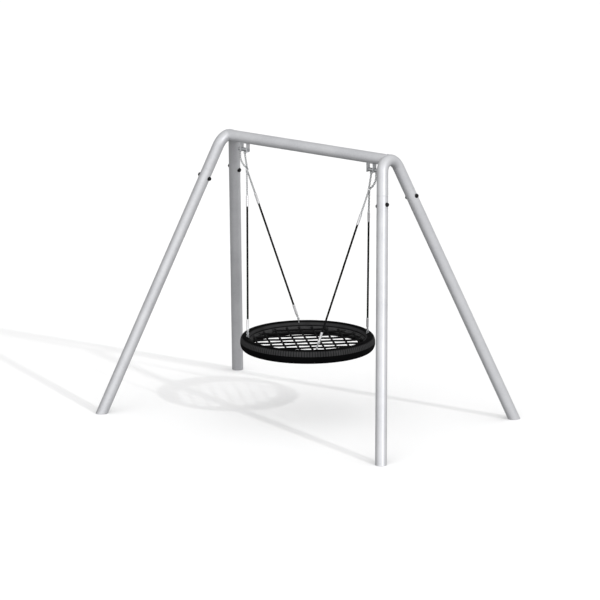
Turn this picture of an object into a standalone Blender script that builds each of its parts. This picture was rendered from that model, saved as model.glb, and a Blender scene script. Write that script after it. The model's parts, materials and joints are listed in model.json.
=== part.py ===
"""Saucer nest swing: a round nest seat hung from a steel A-frame by two swivelling hangers.

Metres, +Z up, +X along the top beam. The origin is on the ground, under the middle of the beam.
The swing axis runs along X through both hanger pins, and the seat tips about the two joint rings.
"""

import math

import bmesh
import bpy
from mathutils import Matrix, Vector

# Frame, one size of round tube throughout
FRAME_HEIGHT = 2.5
FOOT_X = 1.537
SPLAY = math.radians(15)
HALF_ANGLE = math.radians(20)
TUBE_R = 0.0508
TUBE_WALL = 0.0036
BEND_R = 0.127
TUBE_SIDES = 24
GAP = 0.0004

# Sleeve joint between a bent head and each leg, measured from the leg axes' sharp corner
SEAM_AT = 0.575
BOLT_AT = 0.650
SPIGOT_R = 0.0464
SPIGOT_WALL = 0.0036
SPIGOT_IN_HEAD = 0.05
SPIGOT_IN_LEG = 0.15
SPIGOT_STEP = 0.001
WELD = 0.0005
BOLT_R = 0.006
HEX_R = 0.0115
HEAD_THICK = 0.008
NUT_THICK = 0.010
CAP_R = 0.0195
CAP_HEIGHT = 0.020
CAP_WRAP = 0.005

# Hanger bracket: two cheeks on a strip rolled to the beam, and the bearing between them
BRACKET_X = 0.694
PIVOT_Z = 2.341
STRIP_THICK = 0.003
CHEEK_SPREAD = 0.034
CHEEK_THICK = 0.006
CHEEK_DEPTH = 0.050
CHEEK_BELOW = 0.022
CHEEK_RISE = 0.009
PIN_R = 0.008
PIN_HEAD_R = 0.0125
PIN_HEAD_THICK = 0.007
BUSH_WALL = 0.002
HOUSING_R = 0.016
EYE_DROP = 0.033
EYE_R = 0.0125
EYE_PLATE_THICK = 0.008
PLATE_SINK = 0.003

# Safety eye, on the pin's outboard end
SAFETY_EYE_LENGTH = 0.028
SAFETY_LUG_DROP = 0.024
SAFETY_LUG_R = 0.008
SAFETY_LUG_THICK = 0.006
SAFETY_HOLE_R = 0.0045

# Suspension: joint rings above, seat eyes below, and the lengths along each line between them
RING_X = 0.670
RING_Z = 2.158
RING_MAJOR = 0.015
RING_WIRE = 0.004
CHAIN_R = 0.005
ROPE_R = 0.009
FERRULE_R = 0.012
UPPER_FERRULE_FROM = 0.230
ROPE_FROM = 0.332
ROPE_TO = 1.335
LOWER_FERRULE_TO = 1.435

# Seat
SEAT_Z = 0.6795
SEAT_R = 0.601
SECTION_HALF_WIDTH = 0.0435
SECTION_HALF_HEIGHT = 0.063
SECTION_POWER = 2.3
INNER_CORNER_POWER = 7.0
SECTION_POINTS = 8
GROOVE_POINTS = 5
CORE_TUBE_R = 0.017
SEAT_STEPS = 48
SEAT_EYE_R = 0.538
SEAT_EYE_Z = 0.7525
SEAT_LUG_THICK = 0.008
SEAT_LUG_DEPTH = 0.024
SEAT_LUG_TOP = 0.7645
SLOT_GAP = 0.001
CHAIN_GAP = 0.003
NET_PITCH = 0.1125
NET_LINES = 4
NET_ROPE = 0.0156
NET_WEAVE = 0.0015
BORDER_R = 0.0062

BEAM_Z = FRAME_HEIGHT - TUBE_R
APEX_X = FOOT_X - BEAM_Z * math.tan(SPLAY)
CORNER_UP = BEAM_Z / math.cos(SPLAY) + BEND_R * (1 / math.sin(HALF_ANGLE) - 1)
LEG_LENGTH = CORNER_UP / math.cos(HALF_ANGLE)
SECTION_R = SEAT_R - SECTION_HALF_WIDTH
SEAT_INNER_R = SECTION_R - SECTION_HALF_WIDTH
BORDER_RING_R = SEAT_INNER_R - BORDER_R - GAP

SIDES = {"left": -1, "right": 1}
ENDS = {"front": -1, "back": 1}

# colour, roughness, metallic
FINISHES = {
    "frame_paint": ((0.56, 0.57, 0.59), 0.38, 0.6),
    "zinc": ((0.52, 0.53, 0.54), 0.35, 1.0),
    "ferrule_aluminium": ((0.72, 0.72, 0.73), 0.35, 1.0),
    "black_plastic": ((0.015, 0.015, 0.016), 0.35, 0.0),
    "bearing_plastic": ((0.10, 0.10, 0.11), 0.45, 0.0),
    "black_rope": ((0.012, 0.012, 0.013), 0.8, 0.0),
    "black_rubber": ((0.02, 0.02, 0.021), 0.6, 0.0),
}

for old in list(bpy.data.objects):
    bpy.data.objects.remove(old, do_unlink=True)
parts = bpy.data.collections.new("saucer_nest_swing")
cutters = bpy.data.collections.new("cutters")
for collection in (parts, cutters):
    bpy.context.scene.collection.children.link(collection)


def make_finish(name):
    colour, roughness, metallic = FINISHES[name]
    finish = bpy.data.materials.new(name)
    finish.use_nodes = True
    shader = finish.node_tree.nodes["Principled BSDF"]
    shader.inputs["Base Color"].default_value = (*colour, 1)
    shader.inputs["Roughness"].default_value = roughness
    shader.inputs["Metallic"].default_value = metallic
    return finish


finishes = {name: make_finish(name) for name in FINISHES}


def empty(name, location, rotation=(0, 0, 0), parent=None):
    """A guide that carries pieces; on a moving body it stands on the joint's axis."""
    guide = bpy.data.objects.new(name, None)
    guide.location = location
    guide.rotation_euler = rotation
    guide.parent = parent
    parts.objects.link(guide)
    return guide


def add(name, data, finish=None, place=None, parent=None):
    """An object at a place in its parent's axes. One with no finish is a cutter."""
    piece = bpy.data.objects.new(name, data)
    piece.parent = parent
    piece.matrix_basis = place or Matrix()
    if finish:
        data.materials.append(finishes[finish])
        parts.objects.link(piece)
    else:
        piece.hide_render = True
        piece.display_type = "WIRE"
        cutters.objects.link(piece)
    return piece


def smooth(mesh):
    mesh.shade_smooth()
    mesh.set_sharp_from_angle(angle=math.radians(35))
    return mesh


def turned(name, profile, finish=None, steps=TUBE_SIDES, closed=False, place=None, parent=None):
    """(radius, height) points, down the outer side, spun about the object's Z."""
    mesh = bpy.data.meshes.new(name)
    edges = [(i, i + 1) for i in range(len(profile) - 1)]
    if closed:
        edges.append((len(profile) - 1, 0))
    mesh.from_pydata([(r, 0, z) for r, z in profile], edges, [])
    piece = add(name, mesh, finish, place, parent)
    spin = piece.modifiers.new("spin", "SCREW")
    spin.steps = spin.render_steps = steps
    spin.use_merge_vertices = not closed
    spin.merge_threshold = 0.00001
    return piece


def pipe_profile(outer, inner, top, bottom):
    return [(outer, top), (outer, bottom), (inner, bottom), (inner, top)]


def rod_mesh(name, radius, length, sides):
    """A cylinder about Z, centred on the origin."""
    shape = bmesh.new()
    bmesh.ops.create_cone(
        shape, cap_ends=True, segments=sides, radius1=radius, radius2=radius, depth=length
    )
    mesh = bpy.data.meshes.new(name)
    shape.to_mesh(mesh)
    shape.free()
    return smooth(mesh)


def box_mesh(name, low, high):
    shape = bmesh.new()
    bmesh.ops.create_cube(shape, size=1)
    size = Vector(high) - Vector(low)
    bmesh.ops.scale(shape, vec=size, verts=shape.verts)
    bmesh.ops.translate(shape, vec=Vector(low) + size / 2, verts=shape.verts)
    mesh = bpy.data.meshes.new(name)
    shape.to_mesh(mesh)
    shape.free()
    return mesh


def torus_mesh(name, major, minor, major_steps, minor_steps):
    bpy.ops.mesh.primitive_torus_add(
        major_radius=major,
        minor_radius=minor,
        major_segments=major_steps,
        minor_segments=minor_steps,
    )
    made = bpy.context.object
    mesh = made.data
    bpy.data.objects.remove(made)
    mesh.name = name
    mesh.shade_smooth()
    return mesh


def swept_mesh(name, points, radius, resolution, capped):
    """A round bar or an open pipe skin along a path, with its caps welded on."""
    curve = bpy.data.curves.new(name, "CURVE")
    curve.dimensions = "3D"
    curve.bevel_depth = radius
    curve.bevel_resolution = resolution
    curve.use_fill_caps = capped
    spline = curve.splines.new("POLY")
    spline.points.add(len(points) - 1)
    for point, position in zip(spline.points, points):
        point.co = (*position, 1)
    guide = bpy.data.objects.new(name, curve)
    cutters.objects.link(guide)
    depsgraph = bpy.context.evaluated_depsgraph_get()
    mesh = bpy.data.meshes.new_from_object(guide.evaluated_get(depsgraph))
    bpy.data.objects.remove(guide)
    shape = bmesh.new()
    shape.from_mesh(mesh)
    bmesh.ops.remove_doubles(shape, verts=shape.verts, dist=0.00001)
    shape.to_mesh(mesh)
    shape.free()
    return smooth(mesh)


def wire(name, points, radius, finish, axis):
    """A round bar through world points, on the body that turns about axis."""
    curve = bpy.data.curves.new(name, "CURVE")
    curve.dimensions = "3D"
    curve.bevel_depth = radius
    curve.bevel_resolution = 2
    curve.use_fill_caps = True
    spline = curve.splines.new("POLY")
    spline.points.add(len(points) - 1)
    for point, position in zip(spline.points, points):
        point.co = (*position, 1)
    return add(name, curve, finish, Matrix.Translation(-axis.location), axis)


def change(piece, tool, operation):
    """Cuts tool out of a piece or joins it on."""
    step = piece.modifiers.new(tool.name, "BOOLEAN")
    step.operation = operation
    step.object = tool


def along_x(x=0.0, y=0.0, z=0.0):
    """Lays an object's Z axis along +X, at a point."""
    return Matrix.Translation((x, y, z)) @ Matrix.Rotation(math.pi / 2, 4, "Y")


def along_y(x=0.0, y=0.0, z=0.0):
    """Lays an object's Z axis along Y, at a point."""
    return Matrix.Translation((x, y, z)) @ Matrix.Rotation(math.pi / 2, 4, "X")


def bend_path():
    """Centreline of a head in its own plane: front seam, over the bend, back seam."""
    steps = 8
    centre = CORNER_UP - BEND_R / math.sin(HALF_ANGLE)
    sweep = math.pi / 2 - HALF_ANGLE
    seam_y = SEAM_AT * math.sin(HALF_ANGLE)
    seam_up = CORNER_UP - SEAM_AT * math.cos(HALF_ANGLE)
    turns = [sweep * (2 * i / steps - 1) for i in range(steps + 1)]
    bend = [(0, BEND_R * math.sin(a), centre + BEND_R * math.cos(a)) for a in turns]
    return [(0, -seam_y, seam_up), *bend, (0, seam_y, seam_up)]


def make_beam():
    length = 2 * APEX_X
    profile = pipe_profile(TUBE_R, TUBE_R - TUBE_WALL, length / 2, -length / 2)
    return turned("top_beam", profile, "frame_paint", closed=True, place=along_x(z=BEAM_Z))


def make_bolt(where, axis):
    """A through bolt with its nut, across the sleeve joint."""
    base = TUBE_R + GAP
    shank = rod_mesh(f"bolt_{where}", BOLT_R, 2 * base + HEAD_THICK + NUT_THICK, 12)
    middle = (NUT_THICK - HEAD_THICK) / 2
    bolt = add(shank.name, shank, "zinc", along_x(-middle, z=-BOLT_AT), axis)
    for end, thick in ((1, HEAD_THICK), (-1, NUT_THICK)):
        hexagon = rod_mesh(f"hex_{where}_{end}", HEX_R, thick, 6)
        centre = end * (base + thick / 2)
        change(bolt, add(hexagon.name, hexagon, place=along_x(centre, z=-BOLT_AT), parent=axis), "UNION")


def make_cap(name, side, axis, tube_cutter):
    """A domed cap over a bolt end, its rim shaped to the tube."""
    top = TUBE_R + CAP_HEIGHT
    base = TUBE_R - CAP_WRAP
    pocket_r = HEX_R + 2 * GAP
    pocket = TUBE_R + NUT_THICK + 3 * GAP
    profile = [
        (0, top),
        (0.45 * CAP_R, top - 0.06 * CAP_HEIGHT),
        (0.82 * CAP_R, top - 0.36 * CAP_HEIGHT),
        (CAP_R, top - 0.75 * CAP_HEIGHT),
        (CAP_R, base),
        (pocket_r, base),
        (pocket_r, pocket),
        (0, pocket),
    ]
    lean = Matrix.Rotation(side * math.pi / 2, 4, "Y")
    place = Matrix.Translation((0, 0, -BOLT_AT)) @ lean
    cap = turned(name, profile, "black_plastic", steps=16, place=place, parent=axis)
    change(cap, tube_cutter, "DIFFERENCE")


def make_frame_end(side_name, beam, ground):
    """A bent head, its two legs, and their bolts and caps."""
    side = SIDES[side_name]
    plane = empty(f"{side_name}_frame_end", (side * FOOT_X, 0, 0), (0, -side * SPLAY, 0))
    path = bend_path()
    skin = swept_mesh(f"head_{side_name}", path, TUBE_R, (TUBE_SIDES - 4) // 2, False)
    head = add(skin.name, skin, "frame_paint", parent=plane)
    wall = head.modifiers.new("wall", "SOLIDIFY")
    wall.thickness = TUBE_WALL
    wall.offset = -1
    wall.use_even_offset = True

    cope = swept_mesh(f"cope_{side_name}", path, TUBE_R + GAP, (TUBE_SIDES - 4) // 2, True)
    change(beam, add(cope.name, cope, parent=plane), "DIFFERENCE")

    for end_name, end in ENDS.items():
        where = f"{end_name}_{side_name}"
        axis = empty(f"{where}_leg_axis", (0, 0, CORNER_UP), (end * HALF_ANGLE, 0, 0), plane)
        bore = TUBE_R - TUBE_WALL
        spigot_top = -(SEAM_AT - SPIGOT_IN_HEAD)
        step = -(SEAM_AT - SPIGOT_STEP)
        spigot_end = -(SEAM_AT + SPIGOT_IN_LEG)
        spigot_profile = [
            (bore + WELD, spigot_top),
            (bore + WELD, step),
            (SPIGOT_R, step),
            (SPIGOT_R, spigot_end),
            (SPIGOT_R - SPIGOT_WALL, spigot_end),
            (SPIGOT_R - SPIGOT_WALL, spigot_top),
        ]
        spigot = turned(f"spigot_{where}", spigot_profile, closed=True, parent=axis)
        change(head, spigot, "UNION")

        hole_mesh = rod_mesh(f"bolt_hole_{where}", BOLT_R + GAP, 4 * TUBE_R, 12)
        hole = add(hole_mesh.name, hole_mesh, place=along_x(z=-BOLT_AT), parent=axis)
        change(head, hole, "DIFFERENCE")

        past_ground = -(LEG_LENGTH + 2 * TUBE_R)
        profile = pipe_profile(TUBE_R, bore, -(SEAM_AT + GAP), past_ground)
        leg = turned(f"leg_{where}", profile, "frame_paint", closed=True, parent=axis)
        change(leg, ground, "DIFFERENCE")
        change(leg, hole, "DIFFERENCE")

        make_bolt(where, axis)
        outline = [(0, -SEAM_AT), (TUBE_R + GAP, -SEAM_AT), (TUBE_R + GAP, -LEG_LENGTH), (0, -LEG_LENGTH)]
        tube_cutter = turned(f"tube_cutter_{where}", outline, parent=axis)
        make_cap(f"cap_outer_{where}", side, axis, tube_cutter)
        make_cap(f"cap_inner_{where}", -side, axis, tube_cutter)


def make_bracket(side_name, beam_cutter):
    """Two cheeks joined by a strip rolled to the beam's underside, and the pin through them."""
    side = SIDES[side_name]
    centre = side * BRACKET_X
    beam_under = BEAM_Z - TUBE_R
    cheek_out = CHEEK_SPREAD + CHEEK_THICK / 2
    half = CHEEK_DEPTH / 2
    strip_r = TUBE_R + GAP + STRIP_THICK
    outline = [(0, cheek_out), (strip_r, cheek_out), (strip_r, -cheek_out), (0, -cheek_out)]
    place = along_x(centre, z=BEAM_Z)
    bracket = turned(f"bracket_{side_name}", outline, "frame_paint", place=place)
    strip_top = beam_under + CHEEK_RISE
    window = box_mesh(
        f"strip_limit_{side_name}",
        (centre - 2 * cheek_out, -half, PIVOT_Z),
        (centre + 2 * cheek_out, half, strip_top),
    )
    change(bracket, add(window.name, window), "INTERSECT")
    for number, offset in enumerate((-CHEEK_SPREAD, CHEEK_SPREAD)):
        low = (centre + offset - CHEEK_THICK / 2, -half, PIVOT_Z - CHEEK_BELOW)
        high = (centre + offset + CHEEK_THICK / 2, half, strip_top)
        cheek = box_mesh(f"cheek_{side_name}_{number}", low, high)
        change(bracket, add(cheek.name, cheek), "UNION")
    hole = rod_mesh(f"pin_hole_{side_name}", PIN_R + GAP, 4 * cheek_out, 16)
    change(bracket, add(hole.name, hole, place=along_x(centre, z=PIVOT_Z)), "DIFFERENCE")
    change(bracket, beam_cutter, "DIFFERENCE")

    inboard = cheek_out + GAP
    outboard = inboard + SAFETY_EYE_LENGTH + GAP
    profile = [
        (0, outboard + PIN_HEAD_THICK),
        (PIN_HEAD_R, outboard + PIN_HEAD_THICK),
        (PIN_HEAD_R, outboard),
        (PIN_R, outboard),
        (PIN_R, -inboard),
        (PIN_HEAD_R, -inboard),
        (PIN_HEAD_R, -inboard - PIN_HEAD_THICK),
        (0, -inboard - PIN_HEAD_THICK),
    ]
    pin_place = Matrix.Translation((centre, 0, PIVOT_Z)) @ Matrix.Rotation(side * math.pi / 2, 4, "Y")
    turned(f"pivot_pin_{side_name}", profile, "zinc", steps=16, place=pin_place)


def add_lug(sleeve, name, x, reach, drop, thick, hole_r, axis):
    """A round-ended lug under a sleeve, flat to the beam's direction, with a hole through it."""
    plate = box_mesh(name, (x - reach, -thick / 2, -drop), (x + reach, thick / 2, -HOUSING_R + PLATE_SINK))
    change(sleeve, add(name, plate, parent=axis), "UNION")
    end = rod_mesh(f"{name}_end", reach - GAP, thick + GAP, 20)
    change(sleeve, add(end.name, end, place=along_y(x, z=-drop), parent=axis), "UNION")
    hole = rod_mesh(f"{name}_hole", hole_r, 4 * thick, 16)
    change(sleeve, add(hole.name, hole, place=along_y(x, z=-drop), parent=axis), "DIFFERENCE")


def make_hanger(side_name):
    """The swinging half of a hanger: two sleeves with their lugs, bush, chains and joint ring."""
    side = SIDES[side_name]
    centre = side * BRACKET_X
    axis = empty(f"{side_name}_swing_axis", (centre, 0, PIVOT_Z))
    half = CHEEK_SPREAD - CHEEK_THICK / 2 - 2 * GAP
    bush_r = PIN_R + GAP + BUSH_WALL

    tube = pipe_profile(HOUSING_R, bush_r + GAP, half, -half)
    housing = turned(f"hanger_{side_name}", tube, "zinc", steps=20, closed=True, place=along_x(), parent=axis)
    add_lug(housing, f"eye_plate_{side_name}", 0, EYE_R + GAP, EYE_DROP, EYE_PLATE_THICK, BOLT_R, axis)

    bush = pipe_profile(bush_r, PIN_R + GAP, half, -half)
    bush_name = f"bearing_bush_{side_name}"
    turned(bush_name, bush, "bearing_plastic", steps=20, closed=True, place=along_x(), parent=axis)

    sleeve_near = CHEEK_SPREAD + CHEEK_THICK / 2 + GAP
    safety_x = sleeve_near + SAFETY_EYE_LENGTH / 2
    reach = SAFETY_EYE_LENGTH / 2 - GAP / 2
    sleeve_name = f"safety_eye_{side_name}"
    tube = pipe_profile(HOUSING_R, PIN_R + GAP, reach, -reach)
    place = along_x(side * safety_x)
    sleeve = turned(sleeve_name, tube, "zinc", steps=20, closed=True, place=place, parent=axis)
    lug = (side * safety_x, SAFETY_LUG_R, SAFETY_LUG_DROP, SAFETY_LUG_THICK, SAFETY_HOLE_R)
    add_lug(sleeve, f"safety_lug_{side_name}", *lug, axis)

    ring_top = RING_Z + RING_MAJOR + RING_WIRE
    eye_low = PIVOT_Z - EYE_DROP - EYE_R
    top_chain = [(centre, 0, eye_low - 2 * GAP), (side * RING_X, 0, ring_top + 2 * GAP)]
    wire(f"top_chain_{side_name}", top_chain, CHAIN_R, "zinc", axis)

    safety_low = PIVOT_Z - SAFETY_LUG_DROP - SAFETY_LUG_R
    route = [
        (BRACKET_X + safety_x, safety_low - 2 * GAP),
        (BRACKET_X + safety_x, 2.285),
        (0.744, 2.255),
        (0.731, 2.225),
        (0.712, 2.196),
        (0.6792, 2.1620),
    ]
    safety_chain = [(side * x, 0, z) for x, z in route]
    wire(f"safety_chain_{side_name}", safety_chain, CHAIN_R, "zinc", axis)

    ring = torus_mesh(f"joint_ring_{side_name}", RING_MAJOR, RING_WIRE, 20, 6)
    drop = (side * RING_X - centre, 0, RING_Z - PIVOT_Z)
    add(ring.name, ring, "zinc", along_x(*drop), axis)


def make_line(where, side, end, axis):
    """One suspension line: upper chain, ferrule, rope, ferrule, lower chain."""
    top = Vector((side * RING_X, 0, RING_Z))
    reach = SEAT_EYE_R / math.sqrt(2)
    seat_eye = Vector((side * reach, end * reach, SEAT_EYE_Z))
    length = (seat_eye - top).length
    direction = (seat_eye - top) / length
    upper_start = RING_MAJOR + RING_WIRE + CHAIN_R + CHAIN_GAP
    lower_end = length - (SEAT_LUG_TOP - SEAT_EYE_Z) - CHAIN_GAP
    stretches = [
        ("upper_chain", upper_start, UPPER_FERRULE_FROM, CHAIN_R, "zinc"),
        ("upper_ferrule", UPPER_FERRULE_FROM, ROPE_FROM, FERRULE_R, "ferrule_aluminium"),
        ("rope", ROPE_FROM, ROPE_TO, ROPE_R, "black_rope"),
        ("lower_ferrule", ROPE_TO, LOWER_FERRULE_TO, FERRULE_R, "ferrule_aluminium"),
        ("lower_chain", LOWER_FERRULE_TO, lower_end, CHAIN_R, "zinc"),
    ]
    for kind, start, stop, radius, finish in stretches:
        points = [top + direction * (start + GAP), top + direction * (stop - GAP)]
        wire(f"{kind}_{where}", points, radius, finish, axis)


def section_point(angle):
    """A point of the ring's rounded section, as (radius, height)."""
    c, s = math.cos(angle), math.sin(angle)
    power = INNER_CORNER_POWER if c < 0 and s < 0 else SECTION_POWER
    across = math.copysign(abs(c) ** (2 / power), c)
    up = math.copysign(abs(s) ** (2 / power), s)
    return SECTION_R + SECTION_HALF_WIDTH * across, SECTION_HALF_HEIGHT * up


def make_bumper(name, half, axis, place):
    """One half of the rubber ring, with a groove for the steel core; half is 1 above, -1 below."""
    part_line = half * GAP / 2
    outside = [section_point(half * math.pi * i / SECTION_POINTS) for i in range(SECTION_POINTS + 1)]
    outside = [(r, z + part_line) for r, z in outside]
    groove_r = CORE_TUBE_R + 2 * GAP
    groove = []
    for i in range(GROOVE_POINTS + 1):
        angle = math.pi * (1 - i / GROOVE_POINTS)
        groove.append((SECTION_R + groove_r * math.cos(angle), part_line + half * groove_r * math.sin(angle)))
    profile = outside + groove
    if half > 0:
        profile.reverse()
    return turned(name, profile, "black_rubber", steps=SEAT_STEPS, closed=True, place=place, parent=axis)


def make_net(axis, place):
    """Two families of straight ropes at right angles, joined where they cross, at 45 degrees to the beam."""
    reach = BORDER_RING_R - BORDER_R - SLOT_GAP
    net = None
    for family in range(2):
        turn = Matrix.Rotation(math.pi / 4 + family * math.pi / 2, 4, "Z")
        height = NET_WEAVE * (1 - 2 * family)
        for line in range(-NET_LINES, NET_LINES + 1):
            offset = line * NET_PITCH
            half = math.sqrt(reach**2 - (abs(offset) + NET_ROPE / 2) ** 2)
            name = "seat_net" if net is None else f"net_rope_{family}_{line + NET_LINES}"
            low = (-half, offset - NET_ROPE / 2, height - NET_ROPE / 2)
            high = (half, offset + NET_ROPE / 2, height + NET_ROPE / 2)
            mesh = box_mesh(name, low, high)
            if net is None:
                net = add(name, mesh, "black_rope", place @ turn, axis)
            else:
                change(net, add(name, mesh, place=place @ turn, parent=axis), "UNION")
    border = torus_mesh("net_border", BORDER_RING_R, BORDER_R, SEAT_STEPS, 6)
    add(border.name, border, "black_rope", place, axis)


def make_seat():
    """Steel core with four eyes, the two rubber halves, the net and the four suspension lines."""
    axis = empty("seat_tip_axis", (0, 0, RING_Z))
    place = Matrix.Translation((0, 0, SEAT_Z - RING_Z))
    core_mesh = torus_mesh("seat_ring_core", SECTION_R, CORE_TUBE_R, SEAT_STEPS, 8)
    core = add(core_mesh.name, core_mesh, "zinc", place, axis)
    upper = make_bumper("upper_bumper", 1, axis, place)
    make_bumper("lower_bumper", -1, axis, place)
    high = SEAT_LUG_TOP - SEAT_Z
    half_depth, half_thick = SEAT_LUG_DEPTH / 2, SEAT_LUG_THICK / 2
    for side_name, side in SIDES.items():
        for end_name, end in ENDS.items():
            where = f"{end_name}_{side_name}"
            turn = Matrix.Rotation(math.atan2(end, side), 4, "Z")
            spot = place @ turn @ Matrix.Translation((SEAT_EYE_R, 0, 0))
            lug = box_mesh(f"lug_{where}", (-half_depth, -half_thick, 0), (half_depth, half_thick, high))
            change(core, add(lug.name, lug, place=spot, parent=axis), "UNION")
            hole = rod_mesh(f"seat_eye_{where}", BOLT_R, 4 * SEAT_LUG_THICK, 12)
            hole_place = spot @ along_y(z=SEAT_EYE_Z - SEAT_Z)
            change(core, add(hole.name, hole, place=hole_place, parent=axis), "DIFFERENCE")
            slot = box_mesh(
                f"bumper_slot_{where}",
                (-half_depth - SLOT_GAP, -half_thick - SLOT_GAP, -SLOT_GAP),
                (half_depth + SLOT_GAP, half_thick + SLOT_GAP, high),
            )
            change(upper, add(slot.name, slot, place=spot, parent=axis), "DIFFERENCE")
            make_line(where, side, end, axis)
    make_net(axis, place)


def make_swing():
    beam = make_beam()
    ground_size = 2 * FOOT_X
    ground_mesh = box_mesh("ground", (-ground_size, -ground_size, -0.5), (ground_size, ground_size, 0))
    ground = add(ground_mesh.name, ground_mesh)
    outline = [(0, APEX_X), (TUBE_R + GAP, APEX_X), (TUBE_R + GAP, -APEX_X), (0, -APEX_X)]
    beam_cutter = turned("beam_cutter", outline, place=along_x(z=BEAM_Z))
    for side_name in SIDES:
        make_frame_end(side_name, beam, ground)
        make_bracket(side_name, beam_cutter)
        make_hanger(side_name)
    make_seat()


make_swing()
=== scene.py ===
"""Looks of the saucer nest swing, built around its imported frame.

Metres, +X along the top beam, +Y the way the seat swings, +Z up, origin on the ground under the seat.
"""

import json
import math

import bmesh
import bpy
import numpy as np
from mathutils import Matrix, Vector


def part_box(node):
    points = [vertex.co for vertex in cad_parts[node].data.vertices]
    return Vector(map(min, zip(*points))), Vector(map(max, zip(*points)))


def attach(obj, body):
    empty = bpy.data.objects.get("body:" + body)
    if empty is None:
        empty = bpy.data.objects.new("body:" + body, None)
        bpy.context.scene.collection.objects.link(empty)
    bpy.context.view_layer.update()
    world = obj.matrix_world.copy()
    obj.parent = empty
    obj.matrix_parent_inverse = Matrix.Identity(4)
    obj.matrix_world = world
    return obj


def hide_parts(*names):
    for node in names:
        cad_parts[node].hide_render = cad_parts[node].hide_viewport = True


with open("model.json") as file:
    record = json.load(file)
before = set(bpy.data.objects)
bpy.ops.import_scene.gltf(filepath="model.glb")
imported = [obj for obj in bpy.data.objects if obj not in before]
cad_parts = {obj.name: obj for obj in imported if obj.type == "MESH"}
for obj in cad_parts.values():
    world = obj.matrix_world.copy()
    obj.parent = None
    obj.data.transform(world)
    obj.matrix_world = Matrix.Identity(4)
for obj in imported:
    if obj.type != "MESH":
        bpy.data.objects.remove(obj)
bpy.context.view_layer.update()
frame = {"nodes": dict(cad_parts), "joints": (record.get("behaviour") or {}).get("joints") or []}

# ---------------------------------------------------------------- sizes

SIDES = {"left": -1, "right": 1}
ENDS = {"front": -1, "back": 1}
FULL_TURN = 2 * math.pi
GAP = 0.0004
X_AXIS, Y_AXIS, Z_AXIS = (np.array(axis, float) for axis in ((1, 0, 0), (0, 1, 0), (0, 0, 1)))

# Frame: tube, splay and bend, with the places that follow from them
beam_low, beam_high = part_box("top_beam")
TUBE_R = (beam_high.z - beam_low.z) / 2
BEAM_Z = (beam_high.z + beam_low.z) / 2
FOOT_X = 1.537
SPLAY = math.radians(15)
HALF_ANGLE = math.radians(20)
BEND_R = 0.127
TUBE_WALL = 0.0036
SPIGOT_R = 0.0464
BEND_ENDS_AT = 0.45
SEAM_AT = 0.575
SPIGOT_END = 0.725
BOLT_AT = 0.650
APEX_X = FOOT_X - BEAM_Z * math.tan(SPLAY)
CORNER_UP = BEAM_Z / math.cos(SPLAY) + BEND_R * (1 / math.sin(HALF_ANGLE) - 1)
BEND_UP = CORNER_UP - BEND_R / math.sin(HALF_ANGLE)
TUBE_SIDES = 64
TUBE_EDGE = 0.001
TIP_R = 0.00002
CAP_R = 0.0195
CAP_HEIGHT = 0.020
CAP_WALL = 0.0024
CAP_POCKET = 0.0112
BEAM_WELD_R = 0.0035

# Hangers
joints = {joint["name"]: joint for joint in frame["joints"]}
BRACKET_X = joints["right_hanger_swing"]["pos_m"][0]
PIVOT_Z = joints["right_hanger_swing"]["pos_m"][2]
RING_Z = joints["seat_tip"]["pos_m"][2]
ring_low, ring_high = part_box("joint_ring_right")
RING_X = (ring_low.x + ring_high.x) / 2
RING_WIRE = (ring_high.x - ring_low.x) / 2
RING_MAJOR = (ring_high.z - ring_low.z) / 2 - RING_WIRE
STRIP_THICK = 0.003
CHEEK_SPREAD = 0.034
CHEEK_THICK = 0.006
CHEEK_HALF_DEPTH = 0.025
CHEEK_LOW = PIVOT_Z - 0.022
CHEEK_CORNER = 0.007
CHEEK_OUT = CHEEK_SPREAD + CHEEK_THICK / 2
STRIP_WELD_R = 0.0020
HOUSING_R = 0.016
HOUSING_HALF = CHEEK_SPREAD - CHEEK_THICK / 2 - 2 * GAP
EYE_Z = PIVOT_Z - 0.033
EYE_R = 0.0125
EYE_THICK = 0.008
HOLE_R = 0.006
EYE_WELD_R = 0.0016
SLEEVE_EDGE = 0.0012
LUG_SINK = 0.003
BUSH_WALL = 0.002
PIN_R = 0.008
PIN_THREAD_R = 0.0062
NUT_R = 0.0122
NUT_THICK = 0.0066
SAFETY_LENGTH = 0.028
SAFETY_X = BRACKET_X + CHEEK_OUT + GAP + SAFETY_LENGTH / 2
SAFETY_Z = PIVOT_Z - 0.024
SAFETY_R = 0.008
SAFETY_THICK = 0.006
SAFETY_HOLE_R = 0.0045
SAFETY_SAG = [(SAFETY_X, 0, 2.285), (0.744, 0, 2.255), (0.731, 0.001, 2.225), (0.712, 0.004, 2.196)]
SAFETY_HOOK_LEAN = math.radians(62)

# Suspension lines, measured from the joint ring's centre towards the seat's eyes
LINK_WIRE = 0.003
LINK_WIDTH = 0.0204
LINK_PITCH = 0.0185
FERRULE_R = 0.0118
FERRULE_EYE_PITCH = 0.011
FERRULE_EYE_WIDTH = 0.019
EYE_REACH = 0.004
LINE_HOOK_SPREAD = math.radians(24)
STRAND_DEPTH = 0.08
ROPE_LAY = 0.11
NET_LAY = 0.07
ROPE_R = 0.009
UPPER_FERRULE = (0.2304, 0.3316)
ROPE = (0.3324, 1.3346)
LOWER_FERRULE = (1.3354, 1.4346)
SEAT_EYE_R = 0.538
SEAT_EYE_Z = 0.7525
SEAT_LUG_TOP = 0.7645

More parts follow.
